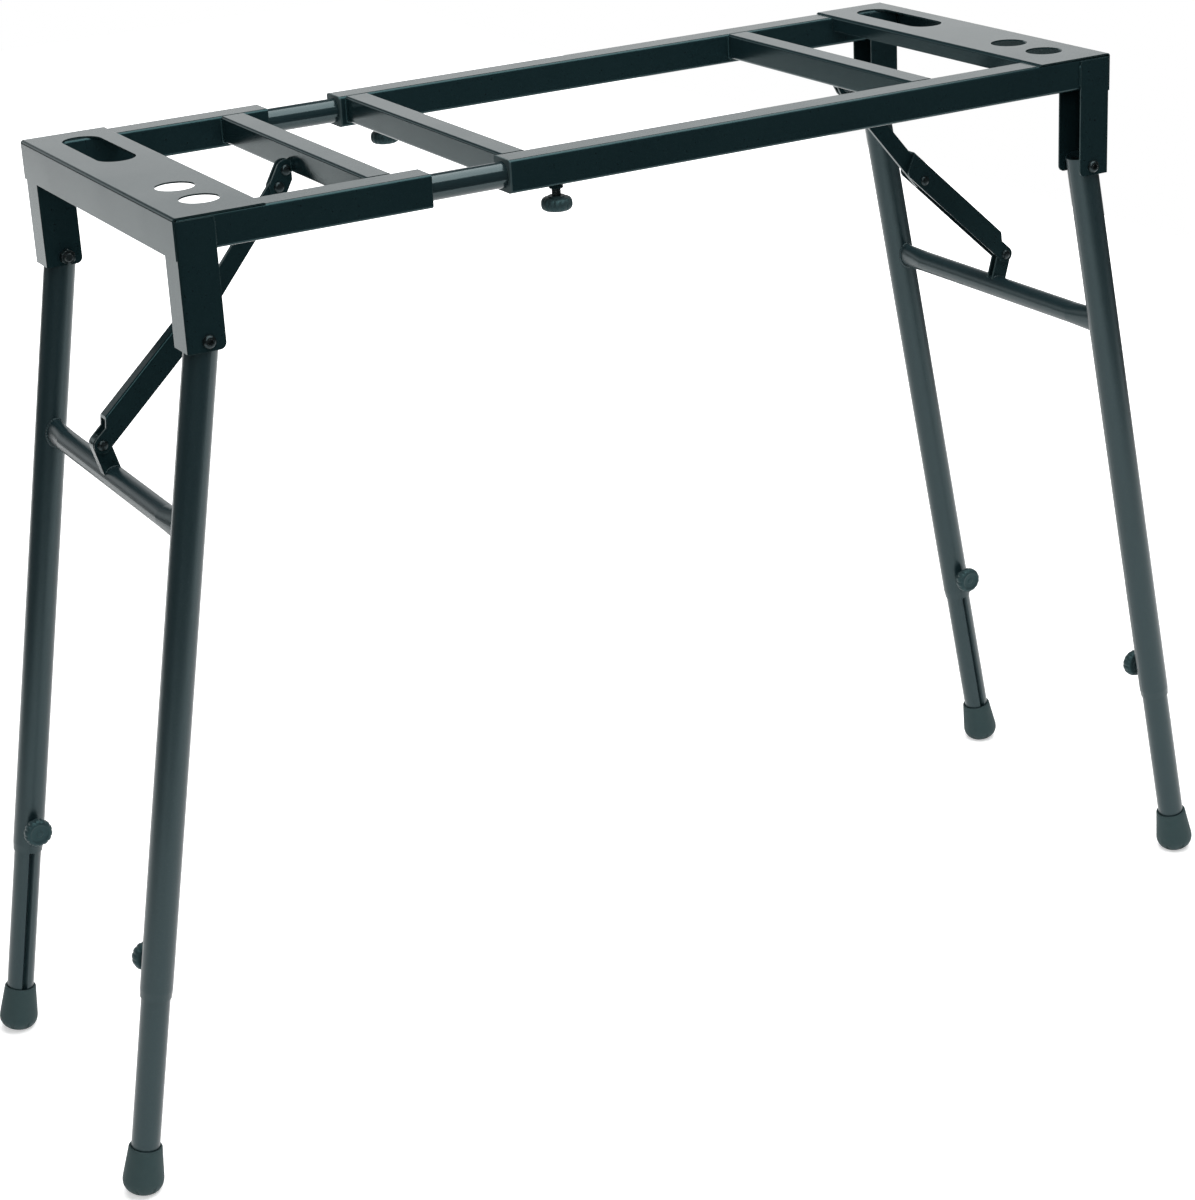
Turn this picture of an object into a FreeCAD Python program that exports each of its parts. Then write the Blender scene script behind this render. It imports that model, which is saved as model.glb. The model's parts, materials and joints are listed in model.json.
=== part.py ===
import FreeCAD, Part
import math
import os
import Sketcher
from FreeCAD import Placement, Rotation, Vector

# Folding keyboard stand. The origin is on the floor under the middle of the frame,
# x runs along the length, y from front to back and z up. All sizes are millimetres.

DRIVING_SIZES = {
    # frame
    "frame_length": 976,
    "frame_depth": 385,
    "frame_height": 902,
    "rail_side": 30,
    "rail_wall": 1.5,
    "rail_corner": 3,
    "rail_end_gap": 1,
    "cross_side": 25,
    "cross_corner": 2.5,
    "cross_inset": 190,
    "left_rail_length": 235,
    "section_gap": 77,
    "inner_cross_inset": 5,
    # folded sheet
    "sheet": 1.5,
    "bend_radius": 3,
    "plate_width": 85,
    "plate_skirt": 36.5,
    "plate_lip": 15,
    "lip_gap": 0.5,
    "slot_length": 126,
    "slot_width": 37,
    "opening_offset": 3,
    "slot_inset": 87.5,
    "hole_diameter": 35.5,
    "hole_inset": 52.5,
    "hole_spacing": 56,
    # leg brackets and pivots
    "bracket_play": 0.5,
    "bracket_reach": 35,
    "bracket_height": 117.5,
    "bracket_toe": 6,
    "pivot_rise": 8.9,
    "pivot_inset": 19.4,
    "bolt_diameter": 8,
    "bolt_head_diameter": 12,
    "bolt_head_height": 4,
    "bolt_nut_width": 13,
    "bolt_nut_height": 6.5,
    "bolt_tail": 2,
    "bolt_play": 0.2,
    # telescoping tubes
    "slide_diameter": 23.5,
    "slide_wall": 1.5,
    "slide_held": 150,
    "slide_engaged": 210,
    "slide_play": 0.15,
    "socket_play": 0.05,
    "plug_play": 0.2,
    "plug_length": 25,
    "bush_lip": 1.5,
    # legs
    "foot_spread": 143,
    "leg_diameter": 30,
    "leg_wall": 1.5,
    "leg_length": 618,
    "leg_top": 9,
    "leg_swage": 0.6,
    "leg_swage_length": 8,
    "inner_diameter": 26.6,
    "inner_length": 400,
    "groove_half_width": 3.2,
    "groove_depth": 4,
    "foot_height": 46.5,
    "foot_top_diameter": 31,
    "foot_diameter": 38.3,
    "foot_round": 12.5,
    "foot_band": 2,
    "foot_sole": 9,
    "foot_play": 0.05,
    "foot_flat": 0.5,
    # crossbar and its tab
    "crossbar_drop": 172.5,
    "crossbar_diameter": 22,
    "crossbar_wall": 1.5,
    "crossbar_flat_length": 34,
    "crossbar_flat_width": 29,
    "crossbar_flat_thickness": 14,
    "tab_rise": 31.6,
    "tab_reach": 15.2,
    "tab_radius": 8.5,
    # brace
    "brace_sheet": 2,
    "brace_middle": 4.15,
    "bar_thickness": 4,
    "bar_width": 17.5,
    "brace_play": 0.35,
    "channel_width": 14.7,
    "channel_back": 13.1,
    "channel_front": 8,
    "channel_start": 22,
    "channel_stop": 30,
    "channel_end_slope": 8,
    "channel_bend": 2,
    "clevis_radius": 9.5,
    "clevis_pivot_reach": 13.6,
    "clevis_pivot_drop": 38,
    "clevis_rivet_reach": 5.5,
    "clevis_rivet_drop": 23.2,
    "knee_inset": 85,
    "knee_drop": 148,
    "rivet_diameter": 6,
    "rivet_head_diameter": 10,
    "rivet_head_height": 2.5,
    "rivet_play": 0.15,
    # knobs
    "knob_diameter": 28.5,
    "knob_height": 12,
    "knob_crown": 2,
    "knob_edge": 2.5,
    "knob_neck_diameter": 15,
    "knob_neck_height": 1.2,
    "knob_flutes": 14,
    "knob_flute_diameter": 5,
    "knob_flute_depth": 0.8,
    "knob_seat": 8,
    "screw_diameter": 8,
    "screw_point": 6,
    "screw_tip_radius": 0.3,
    "screw_play": 0.2,
    "screw_gap": 0.6,
    "knob_gap": 0.5,
    "boss_diameter": 13,
    "boss_height": 4,
    "clamp_boss_height": 5,
    "clamp_inset": 51,
    "clamp_neck_gap": 7,
    "leg_knob_rise": 28,
    # clearances for cuts
    "overrun": 2,
}

document = FreeCAD.newDocument("keyboard_stand")
sheet = document.addObject("Spreadsheet::Sheet", "Sizes")
for row, (alias, number) in enumerate(DRIVING_SIZES.items(), start=1):
    sheet.set(f"A{row}", alias)
    sheet.set(f"B{row}", str(number))
    sheet.setAlias(f"B{row}", alias)
document.recompute()


class Size:
    """A length that carries both its value and the expression that gives it."""

    def __init__(self, value, text):
        self.value = value
        self.text = text

    def __float__(self):
        return float(self.value)

    def __add__(self, other):
        return joined(self, "+", other)

    def __radd__(self, other):
        return joined(other, "+", self)

    def __sub__(self, other):
        return joined(self, "-", other)

    def __rsub__(self, other):
        return joined(other, "-", self)

    def __mul__(self, other):
        return joined(self, "*", other)

    def __rmul__(self, other):
        return joined(other, "*", self)

    def __truediv__(self, other):
        return joined(self, "/", other)

    def __neg__(self):
        return joined(0, "-", self)


def text_of(item):
    return item.text if isinstance(item, Size) else repr(float(item))


def joined(one, sign, other):
    a = float(one)
    b = float(other)
    value = {"+": a + b, "-": a - b, "*": a * b, "/": a / b if b else 0}[sign]
    return Size(value, f"({text_of(one)} {sign} {text_of(other)})")


def distance(across, down):
    value = math.hypot(float(across), float(down))
    return Size(value, f"sqrt({text_of(across)}^2 + {text_of(down)}^2)")


def size(alias):
    return Size(float(sheet.get(alias)), f"Sizes.{alias}")


# Helpers for sketches and features. A sketch names the points of a curve by number, and places
# that differ by less than SAME_PLACE count as one.

START = 1
END = 2
CENTRE = 3
SKETCH_ORIGIN = (-1, START)
SAME_PLACE = 1e-4


def body_named(label):
    body = document.addObject("PartDesign::Body", label)
    body.Label = label
    return body


def sketch_on(body, role, lift=0):
    sketch = body.newObject("Sketcher::SketchObject", f"{body.Name}_sketch")
    plane = next(item for item in body.Origin.OriginFeatures if item.Role == role)
    sketch.AttachmentSupport = [(plane, "")]
    sketch.MapMode = "FlatFace"
    sketch.setExpression(".AttachmentOffset.Base.z", text_of(lift))
    return sketch


def bind(sketch, *parts):
    index = sketch.addConstraint(Sketcher.Constraint(*parts[:-1], float(parts[-1])))
    sketch.setExpression(f"Constraints[{index}]", text_of(parts[-1]))


def pin_point(sketch, geometry, which, x, y):
    bind(sketch, "DistanceX", *SKETCH_ORIGIN, geometry, which, x)
    bind(sketch, "DistanceY", *SKETCH_ORIGIN, geometry, which, y)


def spot(x, y):
    return Vector(float(x), float(y), 0)


def sign_of(number):
    return 0 if abs(number) < SAME_PLACE else math.copysign(1, number)


def outline(sketch, corners):
    """Close a loop through corners (x, y, radius); rounded corners join level and upright edges."""
    count = len(corners)
    leave = []
    arrive = []
    for index, (x, y, radius) in enumerate(corners):
        before = corners[index - 1]
        after = corners[(index + 1) % count]
        into = (sign_of(float(x) - float(before[0])), sign_of(float(y) - float(before[1])))
        out = (sign_of(float(after[0]) - float(x)), sign_of(float(after[1]) - float(y)))
        if not float(radius):
            arrive.append((x, y))
            leave.append((x, y))
        else:
            arrive.append((x - into[0] * radius, y - into[1] * radius))
            leave.append((x + out[0] * radius, y + out[1] * radius))
    lines = []
    for index in range(count):
        start = leave[index]
        end = arrive[(index + 1) % count]
        line = sketch.addGeometry(Part.LineSegment(spot(*start), spot(*end)))
        pin_point(sketch, line, START, *start)
        lines.append(line)
    for index, (x, y, radius) in enumerate(corners):
        before = lines[index - 1]
        after = lines[index]
        if not float(radius):
            meet(sketch, (before, END), (after, START))
            continue
        first = spot(*arrive[index])
        last = spot(*leave[index])
        centre = first + last - spot(x, y)
        turn_left = (spot(x, y) - first).cross(last - spot(x, y)).z > 0
        start, end = (first, last) if turn_left else (last, first)
        angles = [math.atan2(place.y - centre.y, place.x - centre.x) for place in (start, end)]
        circle = Part.Circle(centre, Vector(0, 0, 1), float(radius))
        arc = sketch.addGeometry(Part.ArcOfCircle(circle, *angles))
        pin_point(sketch, before, END, *arrive[index])
        entry, leaving = (START, END) if turn_left else (END, START)
        meet(sketch, (before, END), (arc, entry))
        meet(sketch, (after, START), (arc, leaving))
        bind(sketch, "Radius", arc, radius)


def meet(sketch, here, there, kind="Coincident"):
    sketch.addConstraint(Sketcher.Constraint(kind, *here, *there))


def rectangle(sketch, left, bottom, right, top, radius=0):
    corners = ((left, bottom), (right, bottom), (right, top), (left, top))
    outline(sketch, [(x, y, radius) for x, y in corners])


def circle(sketch, x, y, radius):
    ring = sketch.addGeometry(Part.Circle(spot(x, y), Vector(0, 0, 1), float(radius)))
    pin_point(sketch, ring, CENTRE, x, y)
    bind(sketch, "Radius", ring, radius)


def ellipse(sketch, half_x, half_y):
    """An upright ellipse about the origin, held by the ends of its two axes."""
    ring = Part.Ellipse(spot(0, half_y), spot(half_x, 0), spot(0, 0))
    curve = sketch.addGeometry(ring)
    sketch.exposeInternalGeometry(curve)
    long_axis = curve + 1
    short_axis = curve + 2
    pin_point(sketch, long_axis, START, 0, half_y)
    pin_point(sketch, long_axis, END, 0, -half_y)
    bind(sketch, "DistanceX", *SKETCH_ORIGIN, short_axis, END, half_x)


def stadium(sketch, first, second, radius):
    """Two half circles about two centres, joined by their common tangents."""
    along = (spot(*second) - spot(*first)).normalize()
    across = Vector(-along.y, along.x, 0) * float(radius)
    heading = math.atan2(along.y, along.x)
    quarter = math.pi / 2
    ends = ((first, heading + quarter), (second, heading - quarter))
    arcs = []
    for centre, start in ends:
        ring = Part.Circle(spot(*centre), Vector(0, 0, 1), float(radius))
        arcs.append(sketch.addGeometry(Part.ArcOfCircle(ring, start, start + math.pi)))
        pin_point(sketch, arcs[-1], CENTRE, *centre)
        bind(sketch, "Radius", arcs[-1], radius)
    low = sketch.addGeometry(Part.LineSegment(spot(*first) - across, spot(*second) - across))
    high = sketch.addGeometry(Part.LineSegment(spot(*second) + across, spot(*first) + across))
    loop = (arcs[0], low, arcs[1], high)
    for index, curve in enumerate(loop):
        meet(sketch, (loop[index - 1], END), (curve, START), "Tangent")


def pad(body, sketch, length, side="One side", reversed_way=False):
    feature = body.newObject("PartDesign::Pad", f"{body.Name}_pad")
    feature.Profile = sketch
    feature.SideType = side
    feature.Reversed = reversed_way
    feature.setExpression("Length", text_of(length))
    document.recompute()
    return feature


def pocket(body, sketch, depth=None, side="Symmetric", reversed_way=False):
    """Cut a sketch out of a body: through everything, or to a depth, and never without effect."""
    before = body.Shape.Volume
    feature = body.newObject("PartDesign::Pocket", f"{body.Name}_pocket")
    feature.Profile = sketch
    feature.SideType = side
    feature.Reversed = reversed_way
    if depth is None:
        feature.Type = "ThroughAll"
    else:
        feature.setExpression("Length", text_of(depth))
    document.recompute()
    if body.Shape.Volume >= before:
        raise ValueError(f"{body.Label}: a cut removes nothing")
    return feature


def revolve(body, sketch):
    feature = body.newObject("PartDesign::Revolution", f"{body.Name}_revolution")
    feature.Profile = sketch
    feature.ReferenceAxis = (sketch, ["V_Axis"])
    document.recompute()
    return feature


def round_edges(body, radius, chosen):
    """Fillet the edges of a body whose two ends both pass the test."""
    base = body.Tip
    names = []
    for number, edge in enumerate(base.Shape.Edges, start=1):
        if len(edge.Vertexes) == 2 and all(chosen(vertex.Point) for vertex in edge.Vertexes):
            names.append(f"Edge{number}")
    feature = body.newObject("PartDesign::Fillet", f"{body.Name}_fillet")
    feature.Base = (base, names)
    feature.setExpression("Radius", text_of(radius))
    document.recompute()
    return feature


def near(number, length):
    return abs(number - float(length)) < SAME_PLACE


def cylinder(name, radius, height, placement):
    item = document.addObject("Part::Cylinder", name)
    item.setExpression("Radius", text_of(radius))
    item.setExpression("Height", text_of(height))
    item.Placement = placement
    return item


def box(name, length, width, height, placement):
    item = document.addObject("Part::Box", name)
    item.setExpression("Length", text_of(length))
    item.setExpression("Width", text_of(width))
    item.setExpression("Height", text_of(height))
    item.Placement = placement
    return item


def cut(label, base, tool):
    item = document.addObject("Part::Cut", label)
    item.Base = base
    item.Tool = tool
    item.Label = label
    return item


def group(label, pieces):
    item = document.addObject("Part::Compound", label)
    item.Links = pieces
    item.Label = label
    return item


def moved(x=0, y=0, z=0, rotation=None):
    return Placement(Vector(float(x), float(y), float(z)), rotation or Rotation())


def about(axis, degrees):
    return Rotation(Vector(*axis), float(degrees))


X_AXIS = (1, 0, 0)
Y_AXIS = (0, 1, 0)
Z_AXIS = (0, 0, 1)
ALONG_Y = about(X_AXIS, -90)
HALF_TURN = moved(rotation=about(Z_AXIS, 180))
SIDES = {"front": -1, "back": 1}
ENDS = {"right": 1, "left": -1}

# Places worked out from the driving sizes

sheet_thickness = size("sheet")
bend = size("bend_radius")
half_length = size("frame_length") / 2
half_depth = size("frame_depth") / 2
overrun = size("overrun")
rail_side = size("rail_side")
rail_inside = rail_side - 2 * size("rail_wall")
rail_axis_y = half_depth - rail_side / 2
rail_top = size("frame_height") - sheet_thickness
rail_axis_z = rail_top - rail_side / 2
rail_bottom = rail_top - rail_side
web_outer = half_length - sheet_thickness
rail_end = web_outer - sheet_thickness - size("rail_end_gap")
bracket_width = rail_side + 2 * size("bracket_play") + 2 * sheet_thickness
bracket_inner = web_outer - size("bracket_reach")
bracket_base = size("frame_height") - size("bracket_height")
pivot_x = web_outer - size("pivot_inset")
pivot_z = bracket_base + size("pivot_rise")
left_rail_end = size("left_rail_length") - rail_end
main_rail_start = left_rail_end + size("section_gap")
cross_outer = half_length - size("cross_inset")
rail_gap = size("frame_depth") - 2 * rail_side
leg_knob_z = size("leg_top") - size("leg_length") + size("leg_knob_rise")

END_FRAME = {"right": Placement(), "left": HALF_TURN}
splay = math.atan2(float(size("foot_spread")), float(pivot_z))
leg_frame = moved(pivot_x, 0, pivot_z, about(Y_AXIS, -math.degrees(splay)))

# A foot stands on the inner edge of its rounded sole, where a small flat is cut for the floor.

foot_round = size("foot_round")
sole_radius = size("foot_diameter") / 2 - foot_round
foot_dip = sole_radius * math.sin(splay) + foot_round * (1 - math.cos(splay))
leg_to_sole = (pivot_z - foot_dip + size("foot_flat")) / math.cos(splay)

nodes = []


def keep(item):
    nodes.append(item)
    return item


# Rails and crossmembers


def square_tube(label, side, corner, length, placement):
    """A square tube along x, its section centred on its own axis."""
    body = body_named(label)
    outside = side / 2
    inside = outside - size("rail_wall")
    section = sketch_on(body, "YZ_Plane")
    rectangle(section, -outside, -outside, outside, outside, corner)
    rectangle(section, -inside, -inside, inside, inside, corner - size("rail_wall"))
    pad(body, section, length)
    body.Placement = placement
    return keep(body)


def rails():
    screw_hole = size("screw_diameter") / 2 + size("screw_play")
    for name, side in SIDES.items():
        y = side * rail_axis_y
        start = moved(main_rail_start, y, rail_axis_z)
        main = square_tube(f"main_rail_{name}", rail_side, size("rail_corner"),
                           rail_end - main_rail_start, start)
        hole = sketch_on(main, "XY_Plane")
        circle(hole, size("clamp_inset"), 0, screw_hole)
        pocket(main, hole, rail_side, "One side")
        square_tube(f"left_rail_{name}", rail_side, size("rail_corner"), size("left_rail_length"),
                    moved(-rail_end, y, rail_axis_z))


def crossmembers():
    side = size("cross_side")
    corner = size("cross_corner")
    z = rail_top - side / 2
    middles = {
        "main_crossmember_outer": cross_outer - side / 2,
        "main_crossmember_inner": main_rail_start + size("inner_cross_inset") + side / 2,
        "left_crossmember": side / 2 - cross_outer,
    }
    for label, x in middles.items():
        square_tube(label, side, corner, rail_gap, moved(x, -rail_gap / 2, z, about(Z_AXIS, 90)))


# Folded end plates and leg brackets


def end_plate(end, hand):
    """A sheet folded down into a skirt outside and a lip inside, with a hand slot and two holes."""
    body = body_named(f"{end}_end_plate")
    width = size("plate_width")
    inner = half_length - width
    top = size("frame_height")
    under = top - sheet_thickness
    skirt_foot = top - size("plate_skirt")
    lip_foot = top - size("plate_lip")
    inside_bend = bend - sheet_thickness
    section = sketch_on(body, "XZ_Plane")
    outline(section, [
        (inner, lip_foot, 0), (inner + sheet_thickness, lip_foot, 0),
        (inner + sheet_thickness, under, inside_bend), (web_outer, under, inside_bend),
        (web_outer, skirt_foot, 0), (half_length, skirt_foot, 0),
        (half_length, top, bend), (inner, top, bend),
    ])
    pad(body, section, size("frame_depth"), "Symmetric")
    notches = sketch_on(body, "YZ_Plane", inner + sheet_thickness / 2)
    lip_end = rail_gap / 2 - size("lip_gap")
    rectangle(notches, lip_end, lip_foot - overrun, half_depth + overrun, under)
    rectangle(notches, -half_depth - overrun, lip_foot - overrun, -lip_end, under)
    pocket(body, notches, 2 * bend)
    middle = half_length - width / 2 + hand * size("opening_offset")
    openings = sketch_on(body, "XY_Plane", top)
    radius = size("slot_width") / 2
    half_run = size("slot_length") / 2 - radius
    centre = hand * (half_depth - size("slot_inset"))
    stadium(openings, (middle, centre - half_run), (middle, centre + half_run), radius)
    hole_far = half_depth - size("hole_inset")
    for place in (hole_far - size("hole_spacing"), hole_far):
        circle(openings, middle, -hand * place, size("hole_diameter") / 2)
    pocket(body, openings, sheet_thickness + overrun, "One side")
    body.Placement = END_FRAME[end]
    keep(body)


def bracket(end, name, side):
    """A folded channel round the end of a rail, with holes for the leg pivot below it."""
    body = body_named(f"{end}_bracket_{name}")
    half = bracket_width / 2
    inside_bend = bend - sheet_thickness
    plan = sketch_on(body, "XY_Plane", bracket_base)
    outline(plan, [
        (bracket_inner, half, 0), (bracket_inner, half - sheet_thickness, 0),
        (web_outer - sheet_thickness, half - sheet_thickness, inside_bend),
        (web_outer - sheet_thickness, sheet_thickness - half, inside_bend),
        (bracket_inner, sheet_thickness - half, 0), (bracket_inner, -half, 0),
        (web_outer, -half, bend), (web_outer, half, bend),
    ])
    pad(body, plan, size("bracket_height") - sheet_thickness - inside_bend)

    def toe(point):
        return near(point.x, bracket_inner) and near(point.z, bracket_base)

    round_edges(body, size("bracket_toe"), toe)
    holes = sketch_on(body, "XZ_Plane")
    circle(holes, pivot_x, pivot_z, size("bolt_diameter") / 2 + size("bolt_play"))
    pocket(body, holes)
    body.Placement = END_FRAME[end].multiply(moved(y=side * rail_axis_y))
    keep(body)


def hexagon(label, across_flats, height, placement):
    item = document.addObject("Part::Prism", label)
    item.Polygon = 6
    item.setExpression("Circumradius", text_of(across_flats / math.sqrt(3)))
    item.setExpression("Height", text_of(height))
    item.Placement = placement
    return item


def pivot_bolts(end):
    """Two bolts through the brackets, heads outside and nuts inside."""
    pieces = []
    shank = size("bolt_diameter") / 2
    outer_face = rail_axis_y + bracket_width / 2
    nut = size("bolt_nut_height")
    for name, side in SIDES.items():
        tag = f"{end}_{name}_pivot"
        inward = moved(pivot_x, side * outer_face, pivot_z, about(X_AXIS, side * 90))
        head = cylinder(f"{tag}_head", size("bolt_head_diameter") / 2, size("bolt_head_height"),
                        inward.multiply(moved(z=-size("bolt_head_height"))))
        stem = cylinder(f"{tag}_stem", shank, bracket_width + nut + size("bolt_tail"), inward)
        bolt = document.addObject("Part::Fuse", f"{tag}_bolt")
        bolt.Base = head
        bolt.Tool = stem
        block = hexagon(f"{tag}_block", size("bolt_nut_width"), nut,
                        inward.multiply(moved(z=bracket_width)))
        thread = cylinder(f"{tag}_thread", shank + size("socket_play"), nut + 2 * overrun,
                          inward.multiply(moved(z=bracket_width - overrun)))
        pieces += [bolt, cut(f"{tag}_nut", block, thread)]
    item = keep(group(f"{end}_pivot_bolts", pieces))
    item.Placement = END_FRAME[end]


# Telescoping tubes, their sockets and guide bushes


def round_tube(label, radius, wall, length, placement):
    body = body_named(label)
    section = sketch_on(body, "YZ_Plane")
    circle(section, 0, 0, radius)
    circle(section, 0, 0, radius - wall)
    pad(body, section, length)
    body.Placement = placement
    return body


def rail_plug(label, bore, lip):
    """A square plug that fills a rail end around a round bore, with or without a lip outside."""
    body = body_named(label)
    half = rail_inside / 2 - size("plug_play")
    section = sketch_on(body, "YZ_Plane")
    rectangle(section, -half, -half, half, half, size("rail_wall"))
    circle(section, 0, 0, bore)
    pad(body, section, size("plug_length"))
    if float(lip):
        rim = sketch_on(body, "YZ_Plane")
        rectangle(rim, -rail_side / 2, -rail_side / 2, rail_side / 2, rail_side / 2,
                  size("rail_corner"))
        circle(rim, 0, 0, bore)
        pad(body, rim, lip, reversed_way=True)
    return body


def telescoping_parts():
    radius = size("slide_diameter") / 2
    bushes = []
    sockets = []
    for name, side in SIDES.items():
        y = side * rail_axis_y
        length = size("slide_held") + size("section_gap") + size("slide_engaged")
        keep(round_tube(f"slide_tube_{name}", radius, size("slide_wall"), length,
                        moved(left_rail_end - size("slide_held"), y, rail_axis_z)))
        bush = rail_plug(f"rail_bush_{name}", radius + size("slide_play"), size("bush_lip"))
        bush.Placement = moved(main_rail_start, y, rail_axis_z)
        bushes.append(bush)
        socket = rail_plug(f"tube_socket_{name}", radius + size("socket_play"), 0)
        socket.Placement = moved(left_rail_end - size("plug_length"), y, rail_axis_z)
        sockets.append(socket)
    keep(group("rail_bushes", bushes))
    keep(group("tube_sockets", sockets))


# Legs. Each leg has a frame of its own: origin on the pivot, z up along the tube and the
# opposite leg of the pair towards -y.


def leg_axis_frame(end, side):
    """The frame of one leg; side counts in the right end's directions."""
    turn = about(Z_AXIS, 0 if side > 0 else 180)
    there = moved(0, side * rail_axis_y, 0, turn)
    return END_FRAME[end].multiply(leg_frame).multiply(there)


def leg_tube(label, frame):
    """An outer leg tube, drawn in a little at its lower end, with pivot and screw holes."""
    body = body_named(label)
    outer = size("leg_diameter") / 2
    inner = outer - size("leg_wall")
    top = size("leg_top")
    foot = top - size("leg_length")
    half = sketch_on(body, "XZ_Plane")
    outline(half, [
        (inner, foot, 0), (outer - size("leg_swage"), foot, 0),
        (outer, foot + size("leg_swage_length"), 0), (outer, top, 0), (inner, top, 0),
    ])
    revolve(body, half)
    pivot = sketch_on(body, "XZ_Plane")
    circle(pivot, 0, 0, size("bolt_diameter") / 2 + size("bolt_play"))
    pocket(body, pivot)
    screw = sketch_on(body, "XZ_Plane")
    circle(screw, 0, leg_knob_z, size("screw_diameter") / 2 + size("screw_play"))
    pocket(body, screw, size("leg_diameter"), "One side", reversed_way=True)
    body.Placement = frame
    return keep(body)


def inner_leg(label, frame, reach):
    """The sliding tube, with a V groove pressed into the side where the screw bears."""
    body = body_named(label)
    outer = size("inner_diameter") / 2
    wall = size("leg_wall")
    depth = size("groove_depth")
    half = size("groove_half_width")
    length = size("inner_length")
    ring = sketch_on(body, "XY_Plane")
    circle(ring, 0, 0, outer)
    circle(ring, 0, 0, outer - wall)
    pad(body, ring, length)
    fold = sketch_on(body, "XY_Plane")
    outline(fold, [(-half - wall, wall - outer, 0), (half + wall, wall - outer, 0),
                   (0, depth + 2 * wall - outer, 0)])
    pad(body, fold, length)
    groove = sketch_on(body, "XY_Plane")
    outline(groove, [(-half, -outer, 0), (half, -outer, 0), (0, depth - outer, 0)])
    pocket(body, groove, length, "One side", reversed_way=True)
    body.Placement = frame.multiply(moved(z=-reach))
    return keep(body)


def foot(label, frame):
    """A flared rubber foot over the tube end, its round sole flat where it meets the floor."""
    body = body_named(f"{label}_block")
    height = size("foot_height")
    widest = size("foot_diameter") / 2
    bore = size("inner_diameter") / 2 + size("foot_play")
    profile = sketch_on(body, "XZ_Plane")
    outline(profile, [
        (0, 0, 0), (widest, 0, foot_round), (widest, foot_round + size("foot_band"), 0),
        (size("foot_top_diameter") / 2, height, 0), (bore, height, 0),
        (bore, size("foot_sole"), 0), (0, size("foot_sole"), 0),
    ])
    revolve(body, profile)
    body.Placement = frame.multiply(moved(z=-leg_to_sole))
    span = 2 * size("foot_diameter")
    sole = body.Placement.Base
    floor = box(f"{label}_floor", span, span, span,
                moved(sole.x - float(span) / 2, sole.y - float(span) / 2, -span))
    return keep(cut(label, body, floor))


def leg_boss(label, frame):
    """The threaded boss of a leg screw, cut to sit on the outer tube."""
    body = threaded_boss(f"{label}_ring", size("leg_diameter") / 2 + size("boss_height"),
                         frame.multiply(moved(0, 0, leg_knob_z, about(X_AXIS, 90))))
    width = 2 * size("boss_diameter")
    tube = cylinder(f"{label}_tube", size("leg_diameter") / 2, width,
                    frame.multiply(moved(z=leg_knob_z - width / 2)))
    return cut(label, body, tube)


def threaded_boss(label, height, placement):
    """A short ring along z for the clamp screw."""
    body = body_named(label)
    plan = sketch_on(body, "XY_Plane")
    circle(plan, 0, 0, size("boss_diameter") / 2)
    circle(plan, 0, 0, size("screw_diameter") / 2 + size("screw_play"))
    pad(body, plan, height)
    body.Placement = placement
    return body


def knob(label, placement):
    """A fluted knob below its own neck; its axis is z and its screw points up from the origin."""
    body = body_named(label)
    radius = size("knob_diameter") / 2
    neck = size("knob_neck_diameter") / 2
    neck_height = size("knob_neck_height")
    height = size("knob_height")
    edge = size("knob_edge")
    bore = size("screw_diameter") / 2 + size("socket_play")
    profile = sketch_on(body, "XZ_Plane")
    bottom = -neck_height - height
    outline(profile, [
        (0, bottom, 0), (radius - edge, bottom, 0), (radius, bottom + edge, 0),
        (radius, -neck_height - size("knob_crown"), 0), (neck, -neck_height, 0), (neck, 0, 0),
        (bore, 0, 0), (bore, -size("knob_seat"), 0), (0, -size("knob_seat"), 0),
    ])
    revolve(body, profile)
    flute = sketch_on(body, "XY_Plane", bottom)
    flute_radius = size("knob_flute_diameter") / 2
    circle(flute, radius + flute_radius - size("knob_flute_depth"), 0, flute_radius)
    first = pocket(body, flute, height, "One side", reversed_way=True)
    ring = body.newObject("PartDesign::PolarPattern", f"{label}_flutes")
    ring.Originals = [first]
    ring.Axis = (flute, ["N_Axis"])
    ring.setExpression("Occurrences", text_of(size("knob_flutes")))
    body.Tip = ring
    body.Placement = placement
    return keep(body)


def screw(label, length, placement):
    """A pointed screw along z, from inside the knob up to what it clamps."""
    body = body_named(label)
    radius = size("screw_diameter") / 2
    profile = sketch_on(body, "XZ_Plane")
    outline(profile, [
        (0, -size("knob_seat"), 0), (radius, -size("knob_seat"), 0),
        (radius, length - size("screw_point"), 0), (size("screw_tip_radius"), length, 0),
        (0, length, 0),
    ])
    revolve(body, profile)
    body.Placement = placement
    return keep(body)


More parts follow.
